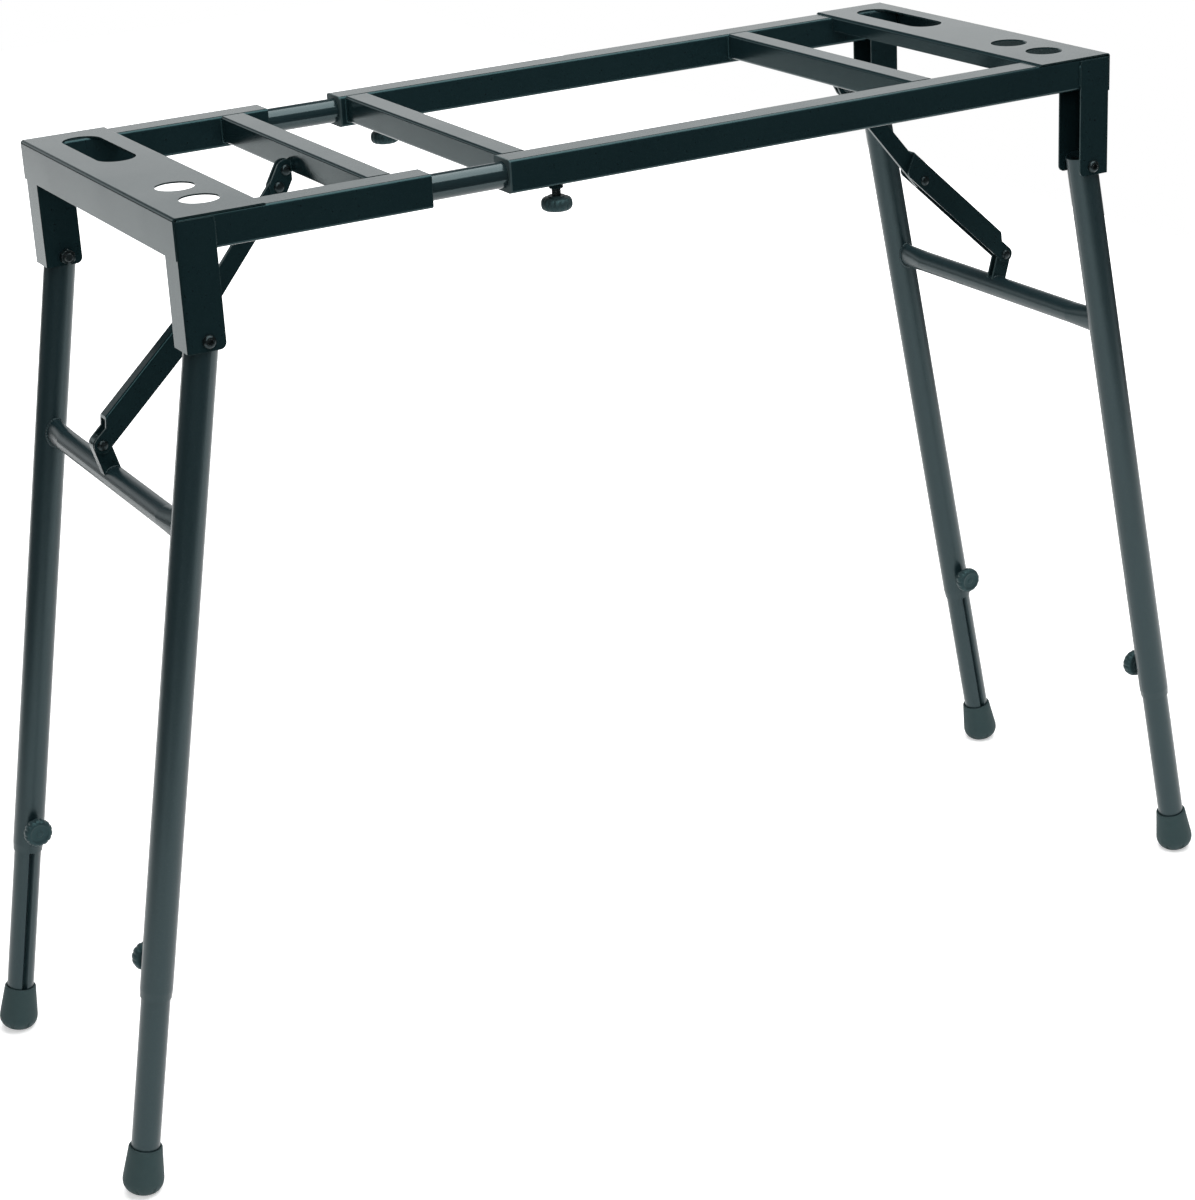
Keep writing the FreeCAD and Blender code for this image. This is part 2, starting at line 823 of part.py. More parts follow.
def crossbar(end):
    """A round tube whose ends are flattened across the legs and cut to fit round them."""
    body = body_named(f"{end}_crossbar_tube")
    radius = size("crossbar_diameter") / 2
    straight = rail_axis_y - size("leg_diameter") / 2 - size("crossbar_flat_length")
    middle = sketch_on(body, "XZ_Plane")
    circle(middle, 0, 0, radius)
    pad(body, middle, 2 * straight, "Symmetric")
    wide = size("crossbar_flat_width") / 2
    thin = size("crossbar_flat_thickness") / 2
    for way in (-1, 1):
        near_end = sketch_on(body, "XZ_Plane", way * straight)
        circle(near_end, 0, 0, radius)
        far_end = sketch_on(body, "XZ_Plane", way * rail_axis_y)
        ellipse(far_end, thin, wide)
        loft = body.newObject("PartDesign::AdditiveLoft", f"{body.Name}_loft")
        loft.Profile = near_end
        loft.Sections = [far_end]
        document.recompute()
    bore = sketch_on(body, "XZ_Plane")
    circle(bore, 0, 0, radius - size("crossbar_wall"))
    pocket(body, bore, 2 * straight, "Symmetric")
    legs = []
    for name, side in SIDES.items():
        legs.append(cylinder(f"{end}_{name}_saddle", size("leg_diameter") / 2,
                             2 * size("crossbar_drop"),
                             moved(0, side * rail_axis_y, -2 * size("crossbar_drop"))))
    body.Placement = moved(z=-size("crossbar_drop"))
    item = keep(cut(f"{end}_crossbar", body, group(f"{end}_saddles", legs)))
    item.Placement = END_FRAME[end].multiply(leg_frame)


# Folding braces. The knee lies past the line between its two outer pivots, and the bar bears
# on the back of the channel, so that the brace locks until the knee is pushed up and out.

clevis_x = cross_outer + size("clevis_pivot_reach")
clevis_z = size("frame_height") - size("clevis_pivot_drop")
knee_x = half_length - size("knee_inset")
knee_z = size("frame_height") - size("knee_drop")
tab_drop = size("crossbar_drop") - size("tab_rise")
brace_foot_x = pivot_x + size("tab_reach") * math.cos(splay) + tab_drop * math.sin(splay)
brace_foot_z = pivot_z + size("tab_reach") * math.sin(splay) - tab_drop * math.cos(splay)
bar_length = distance(knee_x - clevis_x, knee_z - clevis_z)
channel_length = distance(knee_x - brace_foot_x, knee_z - brace_foot_z)
brace_sheet = size("brace_sheet")
channel_inside = size("channel_width") - 2 * brace_sheet
rivet_radius = size("rivet_diameter") / 2
rivet_hole = rivet_radius + size("socket_play")
turning_hole = rivet_radius + size("rivet_play")
clevis_width = size("bar_thickness") + 2 * size("brace_play") + 2 * brace_sheet


def slope(from_x, from_z, to_x, to_z):
    """The turn about y that lays x along a line in the xz plane."""
    return math.degrees(math.atan2(float(from_z - to_z), float(to_x - from_x)))


def clevis(end, hand):
    """A folded clevis welded to the outer face of the crossmember."""
    body = body_named(f"{end}_brace_clevis")
    radius = size("clevis_radius")
    rivet = (cross_outer + size("clevis_rivet_reach"),
             size("frame_height") - size("clevis_rivet_drop"))
    pivot = (clevis_x, clevis_z)
    cheek = sketch_on(body, "XZ_Plane")
    stadium(cheek, pivot, rivet, radius)
    pad(body, cheek, clevis_width, "Symmetric")
    low = clevis_z - 2 * radius
    beam = sketch_on(body, "XZ_Plane")
    rectangle(beam, cross_outer - 2 * radius, low, cross_outer, size("frame_height"))
    pocket(body, beam)
    gap = sketch_on(body, "XZ_Plane")
    rectangle(gap, cross_outer + brace_sheet, low, clevis_x + 2 * radius, size("frame_height"))
    pocket(body, gap, clevis_width - 2 * brace_sheet)
    holes = sketch_on(body, "XZ_Plane")
    circle(holes, *pivot, rivet_hole)
    circle(holes, *rivet, rivet_hole)
    pocket(body, holes)
    frame = END_FRAME[end].multiply(moved(y=hand * size("brace_middle")))
    body.Placement = frame
    keep(body)
    pins = [rivet_between(f"{end}_clevis_rivet_{count}", clevis_width, frame.multiply(moved(x, 0, z)))
            for count, (x, z) in enumerate((pivot, rivet), start=1)]
    keep(group(f"{end}_clevis_rivets", pins))


def rivet_between(label, grip, placement, stub=None):
    """A rivet along y with a head at each end of its grip, or one head and a short stub."""
    body = body_named(label)
    head = size("rivet_head_diameter") / 2
    height = size("rivet_head_height")
    half = sketch_on(body, "XZ_Plane")
    top = grip / 2
    lower = top - stub if stub else -top
    points = [(0, lower, 0), (rivet_radius, lower, 0), (rivet_radius, top, 0), (head, top, 0),
              (head - height / 2, top + height, 0), (0, top + height, 0)]
    if not stub:
        points[:2] = [(0, -top - height, 0), (head - height / 2, -top - height, 0),
                      (head, -top, 0), (rivet_radius, -top, 0)]
    outline(half, points)
    revolve(body, half)
    body.Placement = placement.multiply(moved(rotation=ALONG_Y))
    return body


def brace_bar(end, frame):
    """The flat bar between the clevis and the knee."""
    body = body_named(f"{end}_brace_bar")
    side = sketch_on(body, "XZ_Plane")
    stadium(side, (0, 0), (bar_length, 0), size("bar_width") / 2)
    pad(body, side, size("bar_thickness"), "Symmetric")
    holes = sketch_on(body, "XZ_Plane")
    circle(holes, 0, 0, turning_hole)
    circle(holes, bar_length, 0, turning_hole)
    pocket(body, holes)
    tilt = slope(clevis_x, clevis_z, knee_x, knee_z)
    body.Placement = frame.multiply(moved(clevis_x, 0, clevis_z, about(Y_AXIS, tilt)))
    keep(body)


def brace_channel(end, frame):
    """The folded channel from the tab to the knee; its back runs on past the knee as a stop."""
    body = body_named(f"{end}_brace_channel")
    front = size("channel_front")
    back = size("channel_back")
    outer_back = back + brace_sheet
    start = size("channel_start")
    tip = channel_length + size("channel_stop")
    width = size("channel_width")
    spine = sketch_on(body, "XZ_Plane")
    stadium(spine, (0, 0), (channel_length, 0), front)
    pad(body, spine, width, "Symmetric")
    side = sketch_on(body, "XZ_Plane")
    outline(side, [
        (start - front, front, 0), (start - front, -front, 0), (start, -outer_back, 0),
        (tip, -outer_back, 0), (tip - size("channel_end_slope"), front, 0),
    ])
    pad(body, side, width, "Symmetric")

    def lower_tip(point):
        return near(point.x, tip - size("channel_end_slope")) and near(point.z, front)

    def fold(point):
        return near(point.z, -outer_back)

    round_edges(body, front, lower_tip)
    round_long_edges(body, size("channel_bend"), fold)
    hollow = sketch_on(body, "XZ_Plane")
    rectangle(hollow, -front - overrun, -back, tip + overrun, front + overrun)
    pocket(body, hollow, channel_inside)
    holes = sketch_on(body, "XZ_Plane")
    circle(holes, 0, 0, rivet_hole)
    circle(holes, channel_length, 0, rivet_hole)
    pocket(body, holes)
    tilt = slope(brace_foot_x, brace_foot_z, knee_x, knee_z)
    there = frame.multiply(moved(brace_foot_x, 0, brace_foot_z, about(Y_AXIS, tilt)))
    body.Placement = there
    keep(body)
    pins = [rivet_between(f"{end}_knee_rivet", width, there.multiply(moved(channel_length)))]
    for name, turn in (("one", 0), ("other", 180)):
        facing = there.multiply(moved(rotation=about(X_AXIS, turn)))
        pins.append(rivet_between(f"{end}_tab_rivet_{name}", width, facing, brace_sheet))
    keep(group(f"{end}_brace_rivets", pins))


def round_long_edges(body, radius, chosen):
    """Fillet the edges along x whose two ends pass the test."""
    base = body.Tip
    names = []
    for number, edge in enumerate(base.Shape.Edges, start=1):
        ends = [vertex.Point for vertex in edge.Vertexes]
        if len(ends) == 2 and all(map(chosen, ends)) and near(ends[0].y, ends[1].y):
            names.append(f"Edge{number}")
    feature = body.newObject("PartDesign::Fillet", f"{body.Name}_fold")
    feature.Base = (base, names)
    feature.setExpression("Radius", text_of(radius))
    document.recompute()
    return feature


def brace_tab(end, frame):
    """A folded tab on the crossbar that stands between the cheeks of the channel."""
    label = f"{end}_brace_tab"
    body = body_named(f"{label}_fold")
    radius = size("tab_radius")
    width = channel_inside - 2 * size("brace_play")
    pivot = (size("tab_reach"), -tab_drop)
    root = (0, -size("crossbar_drop"))
    side = sketch_on(body, "XZ_Plane")
    stadium(side, pivot, root, radius)
    pad(body, side, width, "Symmetric")
    along = math.hypot(float(size("tab_reach")), float(size("tab_rise")))
    shift_x = -brace_sheet * (float(size("tab_rise")) / along)
    shift_z = brace_sheet * (float(size("tab_reach")) / along)
    gap = sketch_on(body, "XZ_Plane")
    stadium(gap, (pivot[0] + shift_x, pivot[1] + shift_z), (root[0] + shift_x, root[1] + shift_z),
            radius)
    pocket(body, gap, width - 2 * brace_sheet)
    hole = sketch_on(body, "XZ_Plane")
    circle(hole, *pivot, turning_hole)
    pocket(body, hole)
    body.Placement = frame
    bar = cylinder(f"{label}_crossbar", size("crossbar_diameter") / 2, 4 * width,
                   frame.multiply(moved(0, -2 * width, -size("crossbar_drop"), ALONG_Y)))
    keep(cut(label, body, bar))


# Assembly

rails()
crossmembers()
telescoping_parts()
clamp_bosses = []
for name, side in SIDES.items():
    clamp_x = main_rail_start + size("clamp_inset")
    boss_top = rail_bottom - size("clamp_boss_height")
    clamp_bosses.append(threaded_boss(f"clamp_boss_{name}", size("clamp_boss_height"),
                                      moved(clamp_x, side * rail_axis_y, boss_top)))
    knob_z = boss_top - size("clamp_neck_gap")
    seat = moved(clamp_x, side * rail_axis_y, knob_z)
    knob(f"clamp_knob_{name}", seat)
    reach = rail_axis_z - size("slide_diameter") / 2 - size("screw_gap") - knob_z
    screw(f"clamp_screw_{name}", reach, seat)
keep(group("clamp_bosses", clamp_bosses))

for end, hand in ENDS.items():
    end_plate(end, hand)
    pivot_bolts(end)
    clevis(end, hand)
    brace_frame = END_FRAME[end].multiply(moved(y=hand * size("brace_middle")))
    brace_bar(end, brace_frame)
    brace_channel(end, brace_frame)
    brace_tab(end, brace_frame.multiply(leg_frame))
    crossbar(end)
    bosses = []
    for name in SIDES:
        side = SIDES[name] * hand
        bracket(end, name, side)
        frame = leg_axis_frame(end, side)
        leg_tube(f"{end}_leg_tube_{name}", frame)
        bosses.append(leg_boss(f"{end}_leg_boss_{name}", frame))
        inner_leg(f"{end}_inner_leg_{name}", frame, leg_to_sole - size("foot_sole"))
        foot(f"{end}_foot_{name}", frame)
        knob_y = -size("leg_diameter") / 2 - size("boss_height") - size("knob_gap")
        seat = frame.multiply(moved(0, knob_y, leg_knob_z, ALONG_Y))
        knob(f"{end}_leg_knob_{name}", seat)
        groove_y = size("groove_depth") - size("inner_diameter") / 2 - size("screw_gap")
        screw(f"{end}_leg_screw_{name}", groove_y - knob_y, seat)
    keep(group(f"{end}_leg_bosses", bosses))

document.recompute()
for item in document.Objects:
    if {"Invalid", "Error"} & set(item.State):
        raise ValueError(f"{item.Label}: {item.State}")
for item in nodes:
    if item.Shape.isNull() or not item.Shape.isValid() or not item.Shape.Solids:
        raise ValueError(f"{item.Label}: the shape is not sound")

os.makedirs("parts", exist_ok=True)
for item in nodes:
    item.Shape.exportStep(f"parts/{item.Label}.step")
print(len(nodes), "nodes")
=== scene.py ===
import json
import math

import bmesh
import bpy
from mathutils import Matrix, Vector


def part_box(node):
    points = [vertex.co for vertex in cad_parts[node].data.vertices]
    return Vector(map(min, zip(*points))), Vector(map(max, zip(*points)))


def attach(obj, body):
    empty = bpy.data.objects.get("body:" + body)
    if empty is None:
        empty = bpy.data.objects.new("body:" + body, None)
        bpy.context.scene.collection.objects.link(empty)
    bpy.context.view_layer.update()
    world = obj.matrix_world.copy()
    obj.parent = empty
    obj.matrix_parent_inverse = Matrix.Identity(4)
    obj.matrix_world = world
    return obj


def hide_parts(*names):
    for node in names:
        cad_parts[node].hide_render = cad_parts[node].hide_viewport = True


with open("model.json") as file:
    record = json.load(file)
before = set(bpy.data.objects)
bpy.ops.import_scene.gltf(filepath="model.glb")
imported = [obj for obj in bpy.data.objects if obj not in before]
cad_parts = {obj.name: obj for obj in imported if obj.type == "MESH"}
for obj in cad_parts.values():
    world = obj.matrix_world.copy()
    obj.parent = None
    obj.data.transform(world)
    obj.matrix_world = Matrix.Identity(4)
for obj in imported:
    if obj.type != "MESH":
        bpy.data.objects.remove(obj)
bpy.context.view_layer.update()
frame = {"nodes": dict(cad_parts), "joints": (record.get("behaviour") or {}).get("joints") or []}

# Folding keyboard stand, dressed for the studio. Metres, z up, the floor at z = 0.

MM = 0.001
X = Vector((1, 0, 0))
Y = Vector((0, 1, 0))
Z = Vector((0, 0, 1))
HAND = {"right": 1, "left": -1}
SIDES = {"front": -1, "back": 1}
SECTION = {"right": "main_section", "left": "left_section"}
CROSSMEMBERS = {"main_section": ("main_crossmember_outer", "main_crossmember_inner"),
                "left_section": ("left_crossmember",)}
nodes = frame["nodes"]


def srgb(red, green, blue):
    """A linear colour from the 0 to 255 values of a screen."""
    def linear(value):
        share = value / 255
        return share / 12.92 if share <= 0.04045 else ((share + 0.055) / 1.055) ** 2.4

    return (linear(red), linear(green), linear(blue), 1)


# Materials

COOL_TINT = (0.45, 0.95, 1.0, 1)
PALE_TINT = (0.75, 0.97, 1.0, 1)


class Nodes:
    """A material and its node tree, with short calls to add and join nodes."""

    def __init__(self, name):
        self.material = bpy.data.materials.new(name)
        self.material.use_nodes = True
        self.tree = self.material.node_tree
        self.shader = self.tree.nodes["Principled BSDF"]
        self.place = self.add("ShaderNodeTexCoord").outputs["Object"]

    def add(self, kind, inputs=None, **settings):
        node = self.tree.nodes.new(kind)
        for key, value in settings.items():
            setattr(node, key, value)
        for key, value in (inputs or {}).items():
            self.put(node.inputs[key], value)
        return node

    def put(self, socket, value):
        if isinstance(value, bpy.types.NodeSocket):
            self.tree.links.new(value, socket)
        else:
            socket.default_value = value

    def noise(self, scale, detail=2, roughness=0.5, stretch=None):
        place = self.place
        if stretch:
            mapping = self.add("ShaderNodeMapping", {"Vector": place, "Scale": stretch})
            place = mapping.outputs["Vector"]
        node = self.add("ShaderNodeTexNoise",
                        {"Vector": place, "Scale": scale, "Detail": detail, "Roughness": roughness})
        return node.outputs["Fac"]

    def spread(self, value, low, high, to_low=0, to_high=1):
        """Lays low..high of a value out over another range, clamped."""
        node = self.add("ShaderNodeMapRange", {"Value": value, "From Min": low, "From Max": high,
                                               "To Min": to_low, "To Max": to_high})
        return node.outputs["Result"]

    def mix(self, share, one, other):
        node = self.add("ShaderNodeMix", data_type="RGBA")
        self.put(node.inputs[0], share)
        self.put(node.inputs[6], one)
        self.put(node.inputs[7], other)
        return node.outputs[2]

    def product(self, one, other):
        return self.add("ShaderNodeMath", {0: one, 1: other}, operation="MULTIPLY").outputs[0]

    def edges(self, radius):
        """1 on the edges of a body and 0 on its faces, from the turn of a rounded normal."""
        soft = self.add("ShaderNodeBevel", {"Radius": radius}, samples=4).outputs[0]
        flat = self.add("ShaderNodeNewGeometry").outputs["Normal"]
        turn = self.add("ShaderNodeVectorMath", {0: soft, 1: flat}, operation="DOT_PRODUCT")
        return self.spread(turn.outputs["Value"], 0.98, 0.80)

    def bumps(self, height, depth, strength):
        bump = self.add("ShaderNodeBump", {"Height": height, "Distance": depth, "Strength": strength})
        self.put(self.shader.inputs["Normal"], bump.outputs["Normal"])

    def set(self, **values):
        for name, value in values.items():
            self.put(self.shader.inputs[name.replace("_", " ")], value)


def powder_coat():
    """Black powder coat with a fine pebbled grain, dark pits, and pale painted edges: partly rubbed wear,
    partly a painted highlight along the edges.
    """
    coat = Nodes("powder_coat")
    grain = coat.noise(1500, 3, 0.6)
    cloud = coat.noise(9, 4, 0.55)
    base = coat.mix(cloud, srgb(14, 28, 31), srgb(20, 36, 39))
    flecks = coat.spread(coat.noise(2600, 1), 0.60, 0.72)
    base = coat.mix(coat.product(flecks, 0.22), base, srgb(56, 70, 72))
    # Pale edges, noisy along their length: partly rubbed wear, partly a painted highlight where edges
    # catch the light.
    wear_and_highlight = coat.product(coat.edges(1.0 * MM), coat.spread(coat.noise(60, 4), 0.35, 0.65, 0.2, 0.7))
    base = coat.mix(wear_and_highlight, base, srgb(78, 92, 92))
    pits = coat.spread(coat.noise(420, 1), 0.715, 0.75)
    base = coat.mix(pits, base, srgb(8, 16, 18))
    coat.set(Base_Color=base, Roughness=coat.spread(cloud, 0.3, 0.7, 0.15, 0.20))
    coat.set(Specular_IOR_Level=0.3, Specular_Tint=COOL_TINT)
    coat.bumps(grain, 0.12 * MM, 0.25)
    return coat.material


def tube_coat(name, dark, light, roughness):
    """The smoother black of the round tubes, faintly drawn along the tube."""
    coat = Nodes(name)
    cloud = coat.noise(7, 4, 0.55)
    grain = coat.noise(1700, 2, 0.5)
    drawn = coat.noise(160, 2, 0.5, stretch=(1, 1, 0.04))
    base = coat.mix(cloud, dark, light)
    flecks = coat.spread(coat.noise(2400, 1), 0.60, 0.74)
    base = coat.mix(coat.product(flecks, 0.25), base, srgb(84, 98, 98))
    change = 0.012
    coat.set(Base_Color=base,
             Roughness=coat.spread(drawn, 0.3, 0.7, roughness - change, roughness + change))
    coat.set(Specular_IOR_Level=0.5, Specular_Tint=PALE_TINT)
    coat.bumps(grain, 0.08 * MM, 0.25)
    return coat.material


def black_steel():
    """Blackened bolts, rivets and screws, with bright painted edges: partly wear where tools and hands
    have rubbed them, partly a painted highlight.
    """
    steel = Nodes("black_steel")
    cloud = steel.noise(220, 3)
    # Bright edges, noisy along their length: partly rubbed wear, partly painted glints on the rims of the
    # heads.
    wear_and_highlight = steel.product(steel.edges(0.6 * MM), steel.spread(steel.noise(300, 3), 0.4, 0.6, 0.2, 1))
    base = steel.mix(cloud, srgb(30, 38, 40), srgb(48, 58, 60))
    base = steel.mix(wear_and_highlight, base, srgb(170, 178, 178))
    steel.set(Base_Color=base, Roughness=steel.spread(cloud, 0.3, 0.7, 0.26, 0.40))
    steel.set(Metallic=0.85)
    steel.bumps(steel.noise(1400, 2), 0.05 * MM, 0.5)
    return steel.material


def moulded_plastic(name, dark, light, roughness, grain_scale):
    """Black plastic with a fine moulded grain, paler where edges have been handled."""
    plastic = Nodes(name)
    cloud = plastic.noise(30, 3)
    base = plastic.mix(cloud, dark, light)
    handled = plastic.spread(plastic.noise(90, 3), 0.4, 0.6, 0.1, 0.5)
    base = plastic.mix(plastic.product(plastic.edges(0.8 * MM), handled), base, srgb(84, 95, 95))
    plastic.set(Base_Color=base,
                Roughness=plastic.spread(cloud, 0.3, 0.7, roughness - 0.05, roughness + 0.06))
    plastic.set(Specular_IOR_Level=0.3, Specular_Tint=COOL_TINT)
    plastic.bumps(plastic.noise(grain_scale, 2), 0.1 * MM, 0.5)
    return plastic.material


def rubber():
    """Grey-black rubber, dull, with floor dust low down."""
    foot = Nodes("rubber")
    cloud = foot.noise(90, 4)
    base = foot.mix(cloud, srgb(46, 58, 59), srgb(58, 70, 71))
    height = foot.add("ShaderNodeSeparateXYZ", {"Vector": foot.place}).outputs["Z"]
    dust = foot.product(foot.spread(height, 0.012, 0), foot.spread(foot.noise(240, 3), 0.4, 0.7, 0, 0.4))
    base = foot.mix(dust, base, srgb(98, 106, 105))
    foot.set(Base_Color=base, Roughness=foot.spread(cloud, 0.3, 0.7, 0.55, 0.70))
    foot.set(Specular_IOR_Level=0.25, Specular_Tint=COOL_TINT)
    foot.bumps(foot.noise(900, 3), 0.12 * MM, 0.6)
    return foot.material


materials = {
    "frame_black": powder_coat(),
    "tube_black": tube_coat("tube_coat", srgb(17, 33, 37), srgb(23, 39, 43), 0.30),
    "slide_black": tube_coat("slide_coat", srgb(16, 30, 33), srgb(26, 40, 43), 0.14),
    "hardware": black_steel(),
    "knob_plastic": moulded_plastic("knob_plastic", srgb(34, 48, 51), srgb(46, 60, 62), 0.42, 1200),
    "bush_plastic": moulded_plastic("bush_plastic", srgb(40, 52, 54), srgb(52, 64, 66), 0.55, 1500),
    "rubber": rubber(),
}

# The first row with a word of the node's name in it gives the finish; the rest is powder coated
FINISH = (
    ("hardware", ("bolts", "rivets", "screw")),
    ("knob_plastic", ("knob",)),
    ("bush_plastic", ("bushes", "sockets")),
    ("rubber", ("foot",)),
    ("slide_black", ("slide_tube",)),
    ("tube_black", ("leg_tube", "inner_leg", "crossbar", "leg_bosses")),
)


def finish_of(name):
    for slot, words in FINISH:
        if any(word in name for word in words):
            return slot
    return "frame_black"


def dress_nodes():
    for name, item in nodes.items():
        item.data.materials.clear()
        item.data.materials.append(materials[finish_of(name)])


# Places of the stand's parts, from the frame's joints and solids

anchors = {joint["name"]: Vector(joint["pos_m"]) for joint in frame["joints"] if "pos_m" in joint}
axes = {joint["name"]: Vector(joint["axis"]) for joint in frame["joints"]}
PIVOT = anchors["right_leg_fold"]
UP_LEG = axes["right_front_leg_slide"]
SPLAY = math.atan2(-UP_LEG.x, UP_LEG.z)
KNEE = anchors["right_knee_fold"]
CLEVIS_HINGE = anchors["right_brace_fold"]


def middle_of(name):
    lowest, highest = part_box(name)
    return (lowest + highest) / 2


def half_of(name):
    lowest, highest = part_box(name)
    return (highest - lowest) / 2


def drop_to(place):
    """How far down the leg from the pivots a place is."""
    return (PIVOT - place).dot(UP_LEG)


RAIL_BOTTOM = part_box("main_rail_back")[0].z
LEG_Y = middle_of("main_rail_back").y
LEG_RADIUS = half_of("right_leg_tube_back").y
CROSS_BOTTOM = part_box("left_crossmember")[0].z
CLEVIS_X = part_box("right_brace_clevis")[0].x
CROSSBAR_DROP = drop_to(middle_of("right_crossbar"))
KNOB_DROP = drop_to(anchors["right_front_knob_turn"])
BRACKET_EDGE_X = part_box("right_bracket_front")[0].x
FIXED_CLEVIS_RIVET = CLEVIS_HINGE + Vector((-8.1, 0, 14.8)) * MM
TAB_RIVET_OUT = 15.2 * MM
TAB_RIVET_DROP = 140.9 * MM

# A foot stands on the inner edge of its rounded sole, where a small flat is cut for the floor
SOLE_RADIUS = 6.65 * MM
SOLE_ROUND = 12.5 * MM
SOLE_FLAT = 0.5 * MM
SOLE_DIP = SOLE_RADIUS * math.sin(SPLAY) + SOLE_ROUND * (1 - math.cos(SPLAY)) - SOLE_FLAT
SOLE_DROP = (PIVOT.z - SOLE_DIP) / math.cos(SPLAY)


def on_hand(hand, place):
    """A place of the right end, or its mirror image at the left end."""
    return Vector((hand * place.x, place.y, place.z))


def leg_point(end, out, y, up):
    """A point in a leg pair's own plane: out across the tubes, up along them from the pivots."""
    x = PIVOT.x + out * math.cos(SPLAY) - up * math.sin(SPLAY)
    z = PIVOT.z + out * math.sin(SPLAY) + up * math.cos(SPLAY)
    return Vector((HAND[end] * x, y, z))


def turn_of(count):
    """The angles of a full turn in equal steps."""
    return [2 * math.pi * step / count for step in range(count)]


SHARP_ANGLE = math.radians(38)
BEAD_SIDES = 10
RIPPLE_SHARE = 0.16
RIPPLE_LENGTH = 2.4 * MM
END_SHARE = 0.35
END_GROWTH = 0.25


class Piece:
    """A mesh made of skins that join rings of points; it then rides on a body."""

    def __init__(self):
        self.mesh = bmesh.new()

    def skin(self, rings, closed=False):
        """Join rings of equal count; an open skin is capped at both ends."""
        rows = [[self.mesh.verts.new(point) for point in ring] for ring in rings]
        count = len(rows[0])
        last = [rows[0]] if closed else []
        for near, far in zip(rows, rows[1:] + last):
            for step in range(count):
                after = (step + 1) % count
                self.mesh.faces.new((near[step], near[after], far[after], far[step]))
        if not closed:
            self.mesh.faces.new(rows[0])
            self.mesh.faces.new(rows[-1])

    def turned(self, centre, axis, across, profile, count=48, shape=None):
        """A turned body about an axis; profile rows are (radius, height), shape changes a radius."""
        beside = axis.cross(across)
        rings = []
        for radius, height in profile:
            ring = []
            for angle in turn_of(count):
                length = shape(angle, radius, height) if shape else radius
                spoke = math.cos(angle) * across + math.sin(angle) * beside
                ring.append(centre + height * axis + length * spoke)
            rings.append(ring)
        self.skin(rings)

    def bead(self, path, radius, closed=False):
        """A weld bead along a path of close points: overlapping ripples, thin at open ends."""
        rings = []
        count = len(path)
        run = 0.0
        for index, point in enumerate(path):
            before = path[index - 1] if index or closed else point
            after = path[(index + 1) % count] if index < count - 1 or closed else point
            along = (after - before).normalized()
            side = along.cross(Z if abs(along.z) < 0.8 else X).normalized()
            lift = along.cross(side)
            if index:
                run += (point - path[index - 1]).length
            ripple = 1 + RIPPLE_SHARE * math.cos(2 * math.pi * run / RIPPLE_LENGTH)
            nearest = min(index, count - 1 - index)
            taper = 1 if closed else min(1, END_SHARE + END_GROWTH * nearest)
            size = radius * ripple * taper
            rings.append([point + size * (math.cos(angle) * side + math.sin(angle) * lift)
                          for angle in turn_of(BEAD_SIDES)])
        self.skin(rings, closed)

    def done(self, name, body, slot, replaces=()):
        bmesh.ops.recalc_face_normals(self.mesh, faces=self.mesh.faces)
        for face in self.mesh.faces:
            face.smooth = len(face.verts) == 4
        mesh = bpy.data.meshes.new(name)
        self.mesh.to_mesh(mesh)
        self.mesh.free()
        mesh.materials.append(materials[slot])
        mesh.set_sharp_from_angle(angle=SHARP_ANGLE)
        item = bpy.data.objects.new(name, mesh)
        bpy.context.scene.collection.objects.link(item)
        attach(item, body)
        if replaces:
            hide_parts(*replaces)


def straight(start, end, step=0.6 * MM):
    """Close points from one place to another."""
    count = max(2, round((end - start).length / step))
    return [start.lerp(end, index / count) for index in range(count + 1)]


def level_ring(centre, radius, step=0.6 * MM):
    """Close points round a level circle."""
    count = round(2 * math.pi * radius / step)
    return [centre + radius * (math.cos(angle) * X + math.sin(angle) * Y)
            for angle in turn_of(count)]


def in_metres(profile):
    """A profile drawn in millimetres."""
    return [(radius * MM, height * MM) for radius, height in profile]


# Weld beads, by the radius of the bead; their middles lie just off the metal

WIDE_WELD = 1.3 * MM
RING_WELD = 1.1 * MM
FINE_WELD = 1.0 * MM
OFF = 0.2 * MM
BOSS_RADIUS = 6.6 * MM
TAB_HALF = 5.1 * MM


def crossmember_welds(piece, name):
    """Beads round the two ends of a crossmember, down its sides and along its bottom."""
    corner = 3 * MM
    lowest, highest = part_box(name)
    left = lowest.x - OFF
    right = highest.x + OFF
    low = lowest.z - OFF
    high = highest.z - corner
    for side in SIDES.values():
        y = side * (highest.y - OFF)
        for x in (left, right):
            piece.bead(straight(Vector((x, y, low)), Vector((x, y, high))), WIDE_WELD)
        piece.bead(straight(Vector((left, y, low)), Vector((right, y, low))), WIDE_WELD)


def bracket_welds(piece, hand):
    """Beads where the edges of the leg brackets meet the sides of the rails."""
    x = hand * (BRACKET_EDGE_X - OFF)
    half = 15.6 * MM
    clear = 4 * MM
    length = 21 * MM
    for side in SIDES.values():
        for way in (-1, 1):
            start = Vector((x, side * LEG_Y + way * half, RAIL_BOTTOM + clear))
            piece.bead(straight(start, start + length * Z), FINE_WELD)


def clevis_welds(piece, hand):
    """Beads up the crossmember's face beside the cheeks of the brace clevis."""
    x = hand * (CLEVIS_X + OFF)
    half = 4.5 * MM
    clear = 1 * MM
    length = 9 * MM
    for way in (-1, 1):
        start = Vector((x, KNEE.y + way * half, CROSS_BOTTOM + clear))
        piece.bead(straight(start, start + length * Z), FINE_WELD)


def clamp_boss_welds(piece):
    """A ring round each width clamp's boss, on the underside of its rail."""
    for side in SIDES:
        seat = anchors[f"{side}_clamp_turn"]
        centre = Vector((seat.x, seat.y, RAIL_BOTTOM - OFF))
        piece.bead(level_ring(centre, BOSS_RADIUS), RING_WELD, closed=True)


